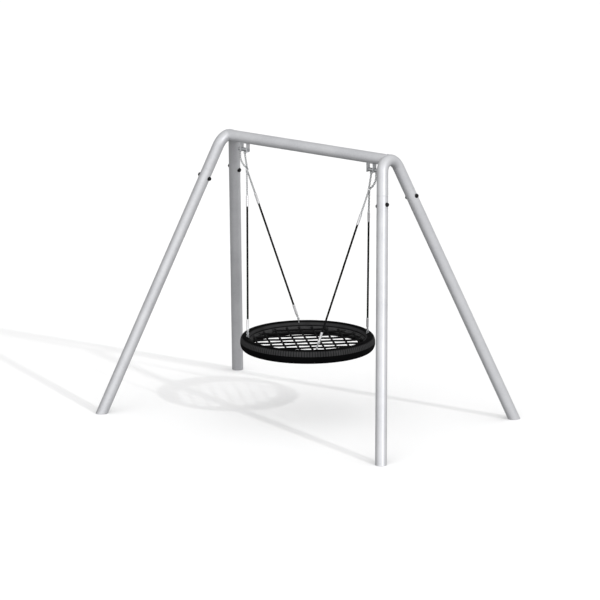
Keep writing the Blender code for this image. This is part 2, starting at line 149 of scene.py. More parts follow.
# Seat
outer_low, outer_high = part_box("lower_bumper")[0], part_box("upper_bumper")[1]
SEAT_R = outer_high.x
SEAT_Z = (outer_low.z + outer_high.z) / 2
SECTION_HALF_HEIGHT = (outer_high.z - outer_low.z) / 2
SEAT_INNER_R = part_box("net_border")[1].x + GAP
SECTION_HALF_WIDTH = (SEAT_R - SEAT_INNER_R) / 2
SECTION_R = SEAT_R - SECTION_HALF_WIDTH
SECTION_POWER = 2.3
INNER_CORNER_POWER = 7.0
CORE_R = 0.017
RIBS = 156
RIB_STEPS = 6
RIB_DEPTH = 0.0030
RIB_TOP = 0.050
WALL_GROOVE_Z = 0.022
WALL_GROOVE_HALF = 0.006
NET_PITCH = 0.1125
NET_LINES = 4
NET_ROPE_R = 0.0088
NET_WEAVE = 0.0010
BORDER_R = 0.0062
SEAT_LUG_R = 0.012
SEAT_LUG_THICK = 0.008
COLLAR_R = 0.0028
COLLAR_HALF_LENGTH = 0.0165
COLLAR_HALF_WIDTH = 0.0085
PART_CHAMFER = 0.0016
SOCKET_PROFILE = [
    (0, -0.001), (0.0165, -0.001), (0.0160, 0.002), (0.0120, 0.010),
    (0.0092, 0.019), (0.0080, 0.0265), (0.0072, 0.0275), (0, 0.0275),
]
WALL_GROOVE_DEPTH = 0.006


# ---------------------------------------------------------------- camera, floor and light

# Soft lights, each a wide glow in the sky: azimuth and elevation in degrees, and its tone
SOFT_LIGHTS = {
    "overhead": (0, 90, 0.89),
    "floor_bounce": (0, -90, 0.18),
    "front": (-90, 12, 0.76),
    "front_right": (-45, 12, 1.19),
    "right": (0, 12, 0.11),
    "back_right": (45, 12, 0.71),
    "fill_back": (90, 12, 0.12),
    "fill_back_left": (135, 12, 0.12),
    "fill_left": (180, 12, 0.12),
    "fill_front_left": (-135, 12, 0.12),
}
SOFT_LIGHT_EDGE = 0.35
KEY_AZIMUTH, KEY_ELEVATION = -12, 32
KEY_ENERGY = 0.79
KEY_WIDTH = math.radians(1.6)
CAMERA_TARGET = (-0.0842, -0.0010, 1.0497)
CAMERA_AZIMUTH, CAMERA_ELEVATION = math.radians(36.406), math.radians(13.514)
CAMERA_DISTANCE = 73.36
CAMERA_LENS = 495.18
FLOOR_HALF = 250.0
FLOOR_Z = -0.001


def make_camera():
    back = Vector((
        math.sin(CAMERA_AZIMUTH) * math.cos(CAMERA_ELEVATION),
        -math.cos(CAMERA_AZIMUTH) * math.cos(CAMERA_ELEVATION),
        math.sin(CAMERA_ELEVATION),
    ))
    data = bpy.data.cameras.new("camera")
    data.sensor_width = 36.0
    data.lens = CAMERA_LENS
    data.clip_end = 1000.0
    camera = bpy.data.objects.new("camera", data)
    camera.location = Vector(CAMERA_TARGET) + CAMERA_DISTANCE * back
    camera.rotation_euler = back.to_track_quat("Z", "Y").to_euler()
    bpy.context.scene.collection.objects.link(camera)
    bpy.context.scene.camera = camera


def make_key_light():
    """A weak, fairly sharp sun that draws the shadows on the floor."""
    data = bpy.data.lights.new("key", "SUN")
    data.energy = KEY_ENERGY
    data.angle = KEY_WIDTH
    light = bpy.data.objects.new("key", data)
    towards = Vector(sky_direction(KEY_AZIMUTH, KEY_ELEVATION))
    light.rotation_euler = towards.to_track_quat("Z", "Y").to_euler()
    bpy.context.scene.collection.objects.link(light)


def sky_direction(azimuth, elevation):
    a, e = math.radians(azimuth), math.radians(elevation)
    return math.cos(a) * math.cos(e), math.sin(a) * math.cos(e), math.sin(e)


def make_world():
    """A pale studio, lit by wide soft lights and dark between them."""
    world = bpy.data.worlds.new("studio")
    world.use_nodes = True
    tree = world.node_tree
    background = tree.nodes["Background"]
    place = tree.nodes.new("ShaderNodeTexCoord").outputs["Generated"]
    total = None
    for azimuth, elevation, tone in SOFT_LIGHTS.values():
        facing = tree.nodes.new("ShaderNodeVectorMath")
        facing.operation = "DOT_PRODUCT"
        facing.inputs[1].default_value = sky_direction(azimuth, elevation)
        tree.links.new(place, facing.inputs[0])
        glow = remap(tree, facing.outputs["Value"], SOFT_LIGHT_EDGE, 1.0, 0.0, tone)
        if total:
            both = tree.nodes.new("ShaderNodeMath")
            tree.links.new(total, both.inputs[0])
            tree.links.new(glow, both.inputs[1])
            glow = both.outputs[0]
        total = glow
    tree.links.new(total, background.inputs["Color"])
    bpy.context.scene.world = world


def make_floor():
    mesh = bpy.data.meshes.new("floor")
    corners = [(FLOOR_HALF * x, FLOOR_HALF * y, FLOOR_Z) for x, y in ((-1, -1), (1, -1), (1, 1), (-1, 1))]
    mesh.from_pydata(corners, [], [(0, 1, 2, 3)])
    floor = bpy.data.objects.new("floor", mesh)
    bpy.context.scene.collection.objects.link(floor)
    mesh.materials.append(finishes["floor"])
    floor.visible_diffuse = floor.visible_glossy = floor.visible_shadow = False


# ---------------------------------------------------------------- materials


def texture_tree(name, metallic=0.0, **constants):
    """A new material with its shader's plain values set on the shader's own sockets."""
    made = bpy.data.materials.new(name)
    made.use_nodes = True
    shader = made.node_tree.nodes["Principled BSDF"]
    shader.inputs["Metallic"].default_value = metallic
    for socket, value in constants.items():
        shader.inputs[socket.replace("_", " ")].default_value = value
    return made, made.node_tree, shader


def coordinates(tree, kind="Object", stretch=(1, 1, 1)):
    """Object or UV coordinates, in metres, stretched."""
    source = tree.nodes.new("ShaderNodeTexCoord")
    mapping = tree.nodes.new("ShaderNodeMapping")
    mapping.inputs["Scale"].default_value = stretch
    tree.links.new(source.outputs[kind], mapping.inputs["Vector"])
    return mapping.outputs["Vector"]


def noise(tree, vector, scale, detail=4.0):
    made = tree.nodes.new("ShaderNodeTexNoise")
    made.inputs["Scale"].default_value = scale
    made.inputs["Detail"].default_value = detail
    made.inputs["Roughness"].default_value = 0.55
    tree.links.new(vector, made.inputs["Vector"])
    return made.outputs["Fac"]


def cells(tree, vector, scale):
    """One random tone for each cell, as on the crystals of a zinc coat."""
    made = tree.nodes.new("ShaderNodeTexVoronoi")
    made.inputs["Scale"].default_value = scale
    tree.links.new(vector, made.inputs["Vector"])
    split = tree.nodes.new("ShaderNodeSeparateColor")
    tree.links.new(made.outputs["Color"], split.inputs[0])
    return split.outputs[0]


def product(tree, first, second):
    made = tree.nodes.new("ShaderNodeMath")
    made.operation = "MULTIPLY"
    tree.links.new(first, made.inputs[0])
    tree.links.new(second, made.inputs[1])
    return made.outputs[0]


def folded(tree, value):
    """Runs up from 0 to 0.5 and back for each whole step of value."""
    made = tree.nodes.new("ShaderNodeMath")
    made.operation = "PINGPONG"
    made.inputs[1].default_value = 0.5
    tree.links.new(value, made.inputs[0])
    return made.outputs[0]


def remap(tree, value, from_low, from_high, low, high, clamp=True):
    made = tree.nodes.new("ShaderNodeMapRange")
    made.clamp = clamp
    for socket, number in zip(made.inputs[1:5], (from_low, from_high, low, high)):
        socket.default_value = number
    tree.links.new(value, made.inputs[0])
    return made.outputs[0]


def blend_colours(tree, factor, first, second):
    """Mixes two colours, each a tuple or a socket."""
    made = tree.nodes.new("ShaderNodeMix")
    made.data_type = "RGBA"
    tree.links.new(factor, made.inputs[0])
    for socket, colour in ((made.inputs[6], first), (made.inputs[7], second)):
        if isinstance(colour, tuple):
            socket.default_value = (*colour, 1)
        else:
            tree.links.new(colour, socket)
    return made.outputs[2]


def add_bumps(tree, shader, *layers):
    """Layers of (height, distance in metres, strength), each on top of the last."""
    normal = None
    for height, distance, strength in layers:
        bump = tree.nodes.new("ShaderNodeBump")
        bump.inputs["Distance"].default_value = distance
        bump.inputs["Strength"].default_value = strength
        tree.links.new(height, bump.inputs["Height"])
        if normal:
            tree.links.new(normal, bump.inputs["Normal"])
        normal = bump.outputs[0]
    tree.links.new(normal, shader.inputs["Normal"])


def metal_finish(name, dark, light, roughness, metallic, cell_scale, grain_stretch):
    """Zinc-coated or painted steel: faint crystals, cloudy patches and a fine drawn grain along the tube."""
    made, tree, shader = texture_tree(name, metallic)
    place = coordinates(tree)
    crystal = cells(tree, place, cell_scale)
    cloud = noise(tree, place, 5.0, detail=6.0)
    grain = noise(tree, coordinates(tree, "UV", grain_stretch), 1.0, detail=5.0)
    tone = blend_colours(tree, remap(tree, cloud, 0.3, 0.7, 0.0, 1.0), dark, light)
    pale = tuple(min(1.0, channel * 1.06) for channel in light)
    tone = blend_colours(tree, remap(tree, crystal, 0.0, 1.0, 0.0, 0.35), tone, pale)
    tree.links.new(tone, shader.inputs["Base Color"])
    rough = remap(tree, grain, 0.3, 0.7, roughness - 0.05, roughness + 0.07)
    tree.links.new(rough, shader.inputs["Roughness"])
    speckle = noise(tree, place, 700.0, detail=3.0)
    add_bumps(tree, shader, (grain, 0.0002, 0.25), (speckle, 0.0001, 0.3))
    return made


def plastic_finish(name, dark, light, roughness):
    """Moulded plastic with a fine leathery grain and a trace of dust."""
    made, tree, shader = texture_tree(name, Specular_IOR_Level=0.12)
    place = coordinates(tree)
    dust = noise(tree, place, 35.0, detail=6.0)
    tree.links.new(
        blend_colours(tree, remap(tree, dust, 0.35, 0.75, 0.0, 1.0), dark, light),
        shader.inputs["Base Color"],
    )
    fine = noise(tree, place, 1400.0, detail=2.0)
    rough = remap(tree, fine, 0.3, 0.7, roughness - 0.06, roughness + 0.1)
    tree.links.new(rough, shader.inputs["Roughness"])
    add_bumps(tree, shader, (fine, 0.00015, 0.5))
    return made


def rope_finish(name, dark, light):
    """Polyester yarn: fibres that run along each strand, with a soft, dusty sheen."""
    made, tree, shader = texture_tree(name, Specular_IOR_Level=0.05)
    fibre = noise(tree, coordinates(tree, "UV", (2400.0, 160.0, 1.0)), 1.0, detail=3.0)
    dust = noise(tree, coordinates(tree), 30.0, detail=5.0)
    tone = blend_colours(tree, remap(tree, fibre, 0.3, 0.75, 0.0, 1.0), dark, light)
    dusty = tuple(channel * 1.3 for channel in light)
    tone = blend_colours(tree, remap(tree, dust, 0.45, 0.8, 0.0, 0.6), tone, dusty)
    tree.links.new(tone, shader.inputs["Base Color"])
    tree.links.new(remap(tree, fibre, 0.2, 0.8, 0.92, 0.72), shader.inputs["Roughness"])
    add_bumps(tree, shader, (fibre, 0.0006, 0.7))
    return made


# Heights above the ring's middle between which one tone of the rubber turns into the next: painted shade on
# top, low down outside and at the foot, and painted light on the lower inner wall
PAINTED_SHADE_TOP_BAND = (0.046, 0.056)
PAINTED_SHADE_LOW_BAND = (0.0075, 0.0060)
PAINTED_LIGHT_WALL_BAND = (0.030, -0.005)
PAINTED_SHADE_FOOT_BAND = (-0.024, -0.032)


def rubber_with_painted_light_and_shade(name, top, face, low, pale):
    """Moulded rubber, black: with painted shade on top, in every groove, low down and at the foot, and
    painted light on its inner walls.
    """
    made, tree, shader = texture_tree(name, Specular_IOR_Level=0.02)
    place = coordinates(tree)
    split = tree.nodes.new("ShaderNodeSeparateXYZ")
    tree.links.new(place, split.inputs[0])
    height = split.outputs["Z"]

    def band(ends):
        return remap(tree, height, SEAT_Z + ends[0], SEAT_Z + ends[1], 0.0, 1.0)

    flat = tree.nodes.new("ShaderNodeCombineXYZ")
    for axis in ("X", "Y"):
        tree.links.new(split.outputs[axis], flat.inputs[axis])
    radius = tree.nodes.new("ShaderNodeVectorMath")
    radius.operation = "LENGTH"
    tree.links.new(flat.outputs[0], radius.inputs[0])
    outside = remap(tree, radius.outputs["Value"], SECTION_R - 0.002, SECTION_R + 0.002, 0.0, 1.0)
    inside = remap(tree, outside, 0.0, 1.0, 1.0, 0.0)

    cloud = noise(tree, place, 14.0, detail=6.0)
    dull = tuple(channel * 0.75 for channel in face)
    tone = blend_colours(tree, remap(tree, cloud, 0.3, 0.7, 0.0, 1.0), dull, face)
    # Painted shade: the top of the ring turns to the near-black top tone
    tone = blend_colours(tree, band(PAINTED_SHADE_TOP_BAND), tone, top)
    # Painted shade: the outside below the middle turns to the dark low tone
    tone = blend_colours(tree, product(tree, band(PAINTED_SHADE_LOW_BAND), outside), tone, low)
    # Painted light: the lower inner wall turns to the paler tone
    tone = blend_colours(tree, product(tree, band(PAINTED_LIGHT_WALL_BAND), inside), tone, pale)
    # Painted shade: the foot of the ring, inside and out, turns to the dark low tone
    tone = blend_colours(tree, band(PAINTED_SHADE_FOOT_BAND), tone, low)

    angle = tree.nodes.new("ShaderNodeMath")
    angle.operation = "ARCTAN2"
    tree.links.new(split.outputs["Y"], angle.inputs[0])
    tree.links.new(split.outputs["X"], angle.inputs[1])
    phase = folded(tree, remap(tree, angle.outputs[0], 0.0, FULL_TURN, 0.0, RIBS, clamp=False))
    # Painted shade: the grooves between the outer ribs take the dark low tone
    painted_shade_between_ribs = remap(tree, phase, 0.36, 0.44, 0.0, 1.0)
    tone = blend_colours(tree, product(tree, painted_shade_between_ribs, outside), tone, low)
    # Painted shade: a dark line along the groove round the inner wall
    level = remap(tree, height, SEAT_Z + WALL_GROOVE_Z - 0.5, SEAT_Z + WALL_GROOVE_Z + 0.5, 0.0, 1.0)
    groove = remap(tree, folded(tree, level), 0.5 - WALL_GROOVE_HALF, 0.4985, 0.0, 1.0)
    tone = blend_colours(tree, product(tree, groove, inside), tone, low)
    tree.links.new(tone, shader.inputs["Base Color"])
    fine = noise(tree, place, 900.0, detail=3.0)
    tree.links.new(remap(tree, cloud, 0.3, 0.7, 0.55, 0.72), shader.inputs["Roughness"])
    add_bumps(tree, shader, (fine, 0.0002, 0.5))
    return made


def floor_finish():
    """Pale, matt and very faintly clouded."""
    made, tree, shader = texture_tree("floor", Specular_IOR_Level=0.0)
    cloud = noise(tree, coordinates(tree), 0.8, detail=3.0)
    tone = blend_colours(tree, cloud, (0.910, 0.910, 0.912), (0.918, 0.918, 0.918))
    tree.links.new(tone, shader.inputs["Base Color"])
    shader.inputs["Roughness"].default_value = 0.9
    return made


finishes = {
    "frame_paint": metal_finish(
        "frame_paint", (0.46, 0.465, 0.485), (0.54, 0.545, 0.56), 0.46, 0.45, 90.0, (900.0, 6.0, 1.0)
    ),
    "zinc": metal_finish(
        "zinc", (0.36, 0.37, 0.38), (0.52, 0.53, 0.54), 0.38, 1.0, 300.0, (600.0, 60.0, 1.0)
    ),
    "ferrule_aluminium": metal_finish(
        "ferrule_aluminium", (0.58, 0.58, 0.59), (0.68, 0.68, 0.69), 0.42, 0.85, 260.0, (60.0, 1500.0, 1.0)
    ),
    "black_plastic": plastic_finish("black_plastic", (0.004, 0.004, 0.0045), (0.010, 0.010, 0.0105), 0.55),
    "bearing_plastic": plastic_finish("bearing_plastic", (0.09, 0.09, 0.10), (0.13, 0.13, 0.14), 0.45),
    "black_rope": rope_finish("black_rope", (0.003, 0.003, 0.0033), (0.010, 0.010, 0.0105)),
    "net_rope": rope_finish("net_rope", (0.002, 0.002, 0.0022), (0.007, 0.007, 0.0073)),
    "border_rope": rope_finish("border_rope", (0.030, 0.030, 0.031), (0.055, 0.055, 0.056)),
    "black_rubber": rubber_with_painted_light_and_shade(
        "black_rubber",
        # top and low are painted shade tones, pale is a painted light tone for the inner wall, face is the
        # rubber's own tone
        top=(0.0008, 0.0008, 0.0009),
        face=(0.036, 0.036, 0.037),
        low=(0.002, 0.002, 0.0022),
        pale=(0.064, 0.064, 0.065),
    ),
    "floor": floor_finish(),
}


# ---------------------------------------------------------------- shape helpers


def unit(vector):
    vector = np.asarray(vector, float)
    return vector / np.linalg.norm(vector)


def sideways(direction, near):
    """The unit vector nearest to near that is square to direction."""
    return unit(near - direction * np.dot(near, direction))


def loft(rings, closed_path=False):
    """A bmesh through rings of points, each ring a closed loop. UVs run round and along it, in metres."""
    rings = np.asarray(rings, float)
    count, sides = rings.shape[:2]
    shape = bmesh.new()
    uv = shape.loops.layers.uv.new("UVMap")
    made = [[shape.verts.new(point) for point in ring] for ring in rings]
    girth = np.linalg.norm(np.roll(rings[0], -1, 0) - rings[0], axis=1).sum()
    steps = np.linalg.norm(np.diff(rings.mean(axis=1), axis=0), axis=1)
    along = np.concatenate(([0.0], np.cumsum(np.maximum(steps, 0.0002))))
    for i in range(count if closed_path else count - 1):
        j = (i + 1) % count
        high = along[i] + steps.mean() if j == 0 else along[j]
        for k in range(sides):
            m = (k + 1) % sides
            face = shape.faces.new((made[i][k], made[i][m], made[j][m], made[j][k]))
            left, right = k / sides * girth, (k + 1) / sides * girth
            places = ((left, along[i]), (right, along[i]), (right, high), (left, high))
            for loop, place in zip(face.loops, places):
                loop[uv].uv = place
    if not closed_path:
        shape.faces.new(list(reversed(made[0])))
        shape.faces.new(made[-1])
    bmesh.ops.recalc_face_normals(shape, faces=shape.faces)
    return shape


def circle(centre, across, up, radius, sides):
    """Points round a centre, in the plane of two unit vectors."""
    turns = np.linspace(0, FULL_TURN, sides, endpoint=False)
    return np.asarray(centre) + radius * (np.outer(np.cos(turns), across) + np.outer(np.sin(turns), up))


def piece(name, body, finish, shapes, replaces=(), angle=40):
    """Joins bmeshes into one named piece that rides on a body."""
    mesh = bpy.data.meshes.new(name)
    joined = bmesh.new()
    for shape in shapes if isinstance(shapes, (list, tuple)) else [shapes]:
        part = bpy.data.meshes.new("part")
        shape.to_mesh(part)
        shape.free()
        joined.from_mesh(part)
        bpy.data.meshes.remove(part)
    joined.to_mesh(mesh)
    joined.free()
    mesh.shade_smooth()
    mesh.set_sharp_from_angle(angle=math.radians(angle))
    made = bpy.data.objects.new(f"{name}_shape", mesh)
    bpy.context.scene.collection.objects.link(made)
    mesh.materials.append(finishes[finish])
    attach(made, body)
    if replaces:
        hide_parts(*([replaces] if isinstance(replaces, str) else replaces))
    return made


def turned(profile, origin, axis, sides=32):
    """A closed body from a closed outline of (radius, height along the axis)."""
    axis = unit(axis)
    across = sideways(axis, Z_AXIS if abs(axis[2]) < 0.9 else X_AXIS)
    up = np.cross(axis, across)
    rings = []
    for radius, height in profile:
        rings.append(circle(np.asarray(origin) + axis * height, across, up, max(radius, TIP_R), sides))
    hollow = min(radius for radius, _ in profile) > 5 * TIP_R
    return loft(rings, closed_path=hollow)


def rounded(profile, radius, steps=3):
    """An outline of (x, y) with every corner rounded; radius is one number or one for each corner."""
    points = [np.array(point, float) for point in profile]
    radii = radius if isinstance(radius, (list, tuple)) else [radius] * len(points)
    out = []
    for i, point in enumerate(points):
        back, on = points[i - 1] - point, points[(i + 1) % len(points)] - point
        reach = min(radii[i], 0.45 * np.linalg.norm(back), 0.45 * np.linalg.norm(on))
        if reach < 0.00005:
            out.append(tuple(point))
            continue
        start, end = point + unit(back) * reach, point + unit(on) * reach
        for step in range(steps + 1):
            t = step / steps
            out.append(tuple((1 - t) ** 2 * start + 2 * t * (1 - t) * point + t**2 * end))
    return out


def plate(outline, origin, across, up, thickness, edge=0.0008):
    """A flat plate with eased edges: outline of (across, up), centred on its thickness."""
    across, up = unit(across), unit(up)
    through = np.cross(across, up)
    points = np.array(outline, float)
    turn = np.roll(points, -1, 0) - np.roll(points, 1, 0)
    inward = np.stack([-turn[:, 1], turn[:, 0]], 1)
    inward /= np.linalg.norm(inward, axis=1)[:, None]
    area = np.sum(points[:, 0] * np.roll(points[:, 1], -1) - points[:, 1] * np.roll(points[:, 0], -1))
    if area < 0:
        inward = -inward
    half = thickness / 2
    rings = []
    for inset, height in ((edge, -half), (0.3 * edge, -half + 0.3 * edge), (0, -half + edge),
                          (0, half - edge), (0.3 * edge, half - 0.3 * edge), (edge, half)):
        flat = points + inward * inset
        in_face = np.outer(flat[:, 0], across) + np.outer(flat[:, 1], up)
        rings.append(np.asarray(origin) + in_face + through * height)
    return loft(rings)


def path_frames(path, near, closed=False):
    """Across and up vectors at each point of a path, carried along it without twist."""
    path = np.asarray(path, float)
    if closed:
        ahead, behind = np.roll(path, -1, 0), np.roll(path, 1, 0)
    else:
        ahead, behind = np.vstack([path[1:], path[-1:]]), np.vstack([path[:1], path[:-1]])
    frames, across = [], near
    for tangent in ahead - behind:
        tangent = unit(tangent)
        across = sideways(tangent, across)
        frames.append((across, np.cross(tangent, across)))
    return frames


def swept(path, near, radius, sides=12, closed=False, wobble=None):
    """A round bar along a path; wobble gives each ring's own radius factor."""
    rings = []
    for i, (point, (across, up)) in enumerate(zip(path, path_frames(path, near, closed))):
        grow = 1.0 if wobble is None else wobble[i]
        rings.append(circle(point, across, up, radius * grow, sides))
    return loft(rings, closed_path=closed)


def strands(path, near, radius, lay, lobes=6, sides=36, closed=False):
    """A laid rope: lobes round its section, which turn once in each lay length."""
    path = np.asarray(path, float)
    gaps = np.linalg.norm(np.diff(path, axis=0), axis=1)
    along = np.concatenate(([0.0], np.cumsum(gaps)))
    if closed:
        total = along[-1] + np.linalg.norm(path[0] - path[-1])
        lay = total / round(total / lay)
    turns = np.linspace(0, FULL_TURN, sides, endpoint=False)
    rings = []
    for point, (across, up), length in zip(path, path_frames(path, near, closed), along):
        twist = FULL_TURN * length / lay
        bulge = np.sqrt(np.abs(np.cos(lobes / 2 * (turns - twist))))
        reach = radius * (1 - STRAND_DEPTH + STRAND_DEPTH * bulge)
        ring = np.outer(np.cos(turns) * reach, across) + np.outer(np.sin(turns) * reach, up)
        rings.append(np.asarray(point) + ring)
    return loft(rings, closed_path=closed)


def spaced(start, end, step):
    count = max(2, math.ceil(np.linalg.norm(np.subtract(end, start)) / step) + 1)
    return np.linspace(start, end, count)


def link(centre, along, side, pitch, width=LINK_WIDTH):
    """One chain link whose inside is pitch long, flat in the plane of along and side."""
    along = unit(along)
    side = sideways(along, side)
    end_r = width / 2 - LINK_WIRE
    straight = pitch / 2 + LINK_WIRE - end_r
    path = []
    for half in (1, -1):
        for turn in np.linspace(-math.pi / 2, math.pi / 2, 9):
            reach, rise = straight + end_r * math.cos(turn), end_r * math.sin(turn)
            path.append(centre + half * (along * reach + side * rise))
    return swept(path, np.cross(along, side), LINK_WIRE, 10, closed=True)


def chain(route, side, odd=True):
    """Links end to end along a route, each a quarter turn from the last; side is across the first."""
    route = np.asarray(route, float)
    gaps = np.linalg.norm(np.diff(route, axis=0), axis=1)
    along = np.concatenate(([0.0], np.cumsum(gaps)))
    count = round(along[-1] / LINK_PITCH)
    if count % 2 != int(odd):
        count += 1
    pitch = along[-1] / count
    links = []
    for i in range(count):
        places = (i * pitch, (i + 1) * pitch)
        start, end = (np.array([np.interp(s, along, route[:, k]) for k in range(3)]) for s in places)
        direction = unit(end - start)
        flat = sideways(direction, side)
        across = flat if i % 2 == 0 else np.cross(direction, flat)
        links.append(link((start + end) / 2, direction, across, np.linalg.norm(end - start)))
    return links


# ---------------------------------------------------------------- steel frame


def plane_vectors(side):
    """A frame end's own axes in world space: its origin on the ground, its outward normal and its up."""
    origin = np.array([side * FOOT_X, 0, 0])
    outward = np.array([side * math.cos(SPLAY), 0, math.sin(SPLAY)])
    up = np.array([-side * math.sin(SPLAY), 0, math.cos(SPLAY)])
    return origin, outward, up


def in_plane(side, y, up_length):
    origin, _, up = plane_vectors(side)
    return origin + Y_AXIS * y + up * up_length


def leg_point(side, end, distance):
    """A point on a leg's axis, at a distance from the axes' corner."""
    return in_plane(side, end * distance * math.sin(HALF_ANGLE), CORNER_UP - distance * math.cos(HALF_ANGLE))


def make_leg(side_name, end_name):
    side, end = SIDES[side_name], ENDS[end_name]
    top = leg_point(side, end, SEAM_AT + GAP)
    axis = unit(leg_point(side, end, 2.0) - leg_point(side, end, 1.0))
    outward = plane_vectors(side)[1]
    up = np.cross(axis, outward)
    rings = []
    bore = TUBE_R - TUBE_WALL
    outline = [(TUBE_R, None), (TUBE_R, TUBE_EDGE), (TUBE_R - TUBE_EDGE, 0.0), (bore, 0.0), (bore, None)]
    for radius, drop in outline:
        if drop is None:
            ring = circle(top, outward, up, radius, TUBE_SIDES)
            ring = ring - np.outer(ring[:, 2] / axis[2], axis)
        else:
            ring = circle(top + axis * drop, outward, up, radius, TUBE_SIDES)
        rings.append(ring)
    name = f"leg_{end_name}_{side_name}"
    piece(name, "frame", "frame_paint", loft(rings, closed_path=True), name)


def make_head(side_name):
    """The bent tube with its two sleeves, as one skin that runs down the outside and back up the bore."""
    side = SIDES[side_name]
    sweep = math.pi / 2 - HALF_ANGLE
    arc = [(BEND_R * math.sin(a), BEND_UP + BEND_R * math.cos(a)) for a in np.linspace(-sweep, sweep, 25)]
    outward = plane_vectors(side)[1]
    stations = []
    for end, order in ((-1, 1), (1, -1)):
        run = [
            (SPIGOT_END, SPIGOT_R), (SEAM_AT, SPIGOT_R), (SEAM_AT, TUBE_R - TUBE_EDGE),
            (SEAM_AT - TUBE_EDGE, TUBE_R), (BEND_ENDS_AT, TUBE_R),
        ]
        stations.append([(leg_point(side, end, s), radius) for s, radius in run][::order])
    bend = [(in_plane(side, y, u), TUBE_R) for y, u in arc]
    outside = stations[0] + bend + stations[1]
    bore = SPIGOT_R - TUBE_WALL
    inside = [(point, bore) for point, radius in outside if radius == TUBE_R]
    inside = [(outside[0][0], bore), *inside, (outside[-1][0], bore)]
    rings = []
    for run in (outside, inside[::-1]):
        points = np.array([point for point, _ in run])
        tangents = []
        for i in range(len(points)):
            low, high = max(i - 1, 0), min(i + 1, len(points) - 1)
            while low > 0 and np.linalg.norm(points[i] - points[low]) < 1e-6:
                low -= 1
            while high < len(points) - 1 and np.linalg.norm(points[high] - points[i]) < 1e-6:
                high += 1
            tangents.append(unit(points[high] - points[low]))
        for (point, radius), tangent in zip(run, tangents):
            across = outward
            up = np.cross(tangent, across)
            if run is not outside:
                up = -up
            rings.append(circle(point, across, up, radius, TUBE_SIDES))
    piece(f"head_{side_name}", "frame", "frame_paint", loft(rings, closed_path=True), f"head_{side_name}")


def reach_of_beam(side, y, z, radius):
    """How far out a line along X at (y, z) runs before it is radius from the head's bent axis."""
    origin, outward, up = plane_vectors(side)
    low, high = APEX_X - 0.12, APEX_X + 0.02
    for _ in range(40):
        x = (low + high) / 2
        offset = np.array([side * x, y, z]) - origin
        out, height = np.dot(offset, outward), np.dot(offset, up)
        gap = math.hypot(math.hypot(y, height - BEND_UP) - BEND_R, out)
        if gap > radius and out < 0:
            low = x
        else:
            high = x
    return side * low


def make_beam():
    rings = []
    turns = np.linspace(0, FULL_TURN, TUBE_SIDES, endpoint=False)
    bore = TUBE_R - TUBE_WALL
    for side, radius in ((-1, TUBE_R), (1, TUBE_R), (1, bore), (-1, bore)):
        ring = []
        for turn in turns:
            y, z = radius * math.cos(turn), BEAM_Z + radius * math.sin(turn)
            ring.append((reach_of_beam(side, y, z, TUBE_R + GAP), y, z))
        rings.append(ring)
    piece("top_beam", "frame", "frame_paint", loft(rings, closed_path=True), "top_beam")


def bead(path, near, radius, seed, closed=False):
    """A weld bead: a small round run with the ripples that the torch leaves."""
    ripple = 1 + 0.10 * np.sin(np.arange(len(path)) * FULL_TURN / 4 + seed)
    return swept(path, near, radius, 8, closed, ripple)


def make_beam_weld(side_name):
    """The fillet weld round the beam where it meets the head."""
    side = SIDES[side_name]
    path, radius = [], TUBE_R + 0.001
    for turn in np.linspace(0, FULL_TURN, 120, endpoint=False):
        y, z = radius * math.cos(turn), BEAM_Z + radius * math.sin(turn)
        path.append((reach_of_beam(side, y, z, radius), y, z))
    run = bead(path, X_AXIS, BEAM_WELD_R, side, closed=True)
    piece(f"beam_weld_{side_name}", "frame", "frame_paint", run)


def make_cap(name, side, end, facing):
    """A domed cap whose rim follows the tube; facing is 1 outside the frame and -1 inside."""
    centre = leg_point(side, end, BOLT_AT)
    axis = unit(leg_point(side, end, 2.0) - leg_point(side, end, 1.0))
    out = plane_vectors(side)[1] * facing
    across = np.cross(axis, out)
    dome = [
        (0.0002, 1.0), (0.25, 0.985), (0.45, 0.93), (0.64, 0.82),
        (0.79, 0.66), (0.90, 0.47), (0.965, 0.28), (1.0, 0.12),
    ]
    rings = []
    turns = np.linspace(0, FULL_TURN, 40, endpoint=False)
    directions = np.outer(np.cos(turns), axis) + np.outer(np.sin(turns), across)
    for reach, up in dome:
        rings.append(centre + directions * CAP_R * reach + out * (TUBE_R + CAP_HEIGHT * up))
    for reach in (CAP_R, CAP_R - CAP_WALL):
        foot = np.sqrt((TUBE_R + GAP) ** 2 - (reach * np.sin(turns)) ** 2)
        rings.append(centre + directions * reach + np.outer(foot, out))
    pocket = TUBE_R + CAP_POCKET
    rings.append(centre + directions * (CAP_R - CAP_WALL) * 0.80 + out * pocket)
    rings.append(centre + directions * 0.0001 + out * pocket)
    piece(name, "frame", "black_plastic", loft(rings), name, angle=50)


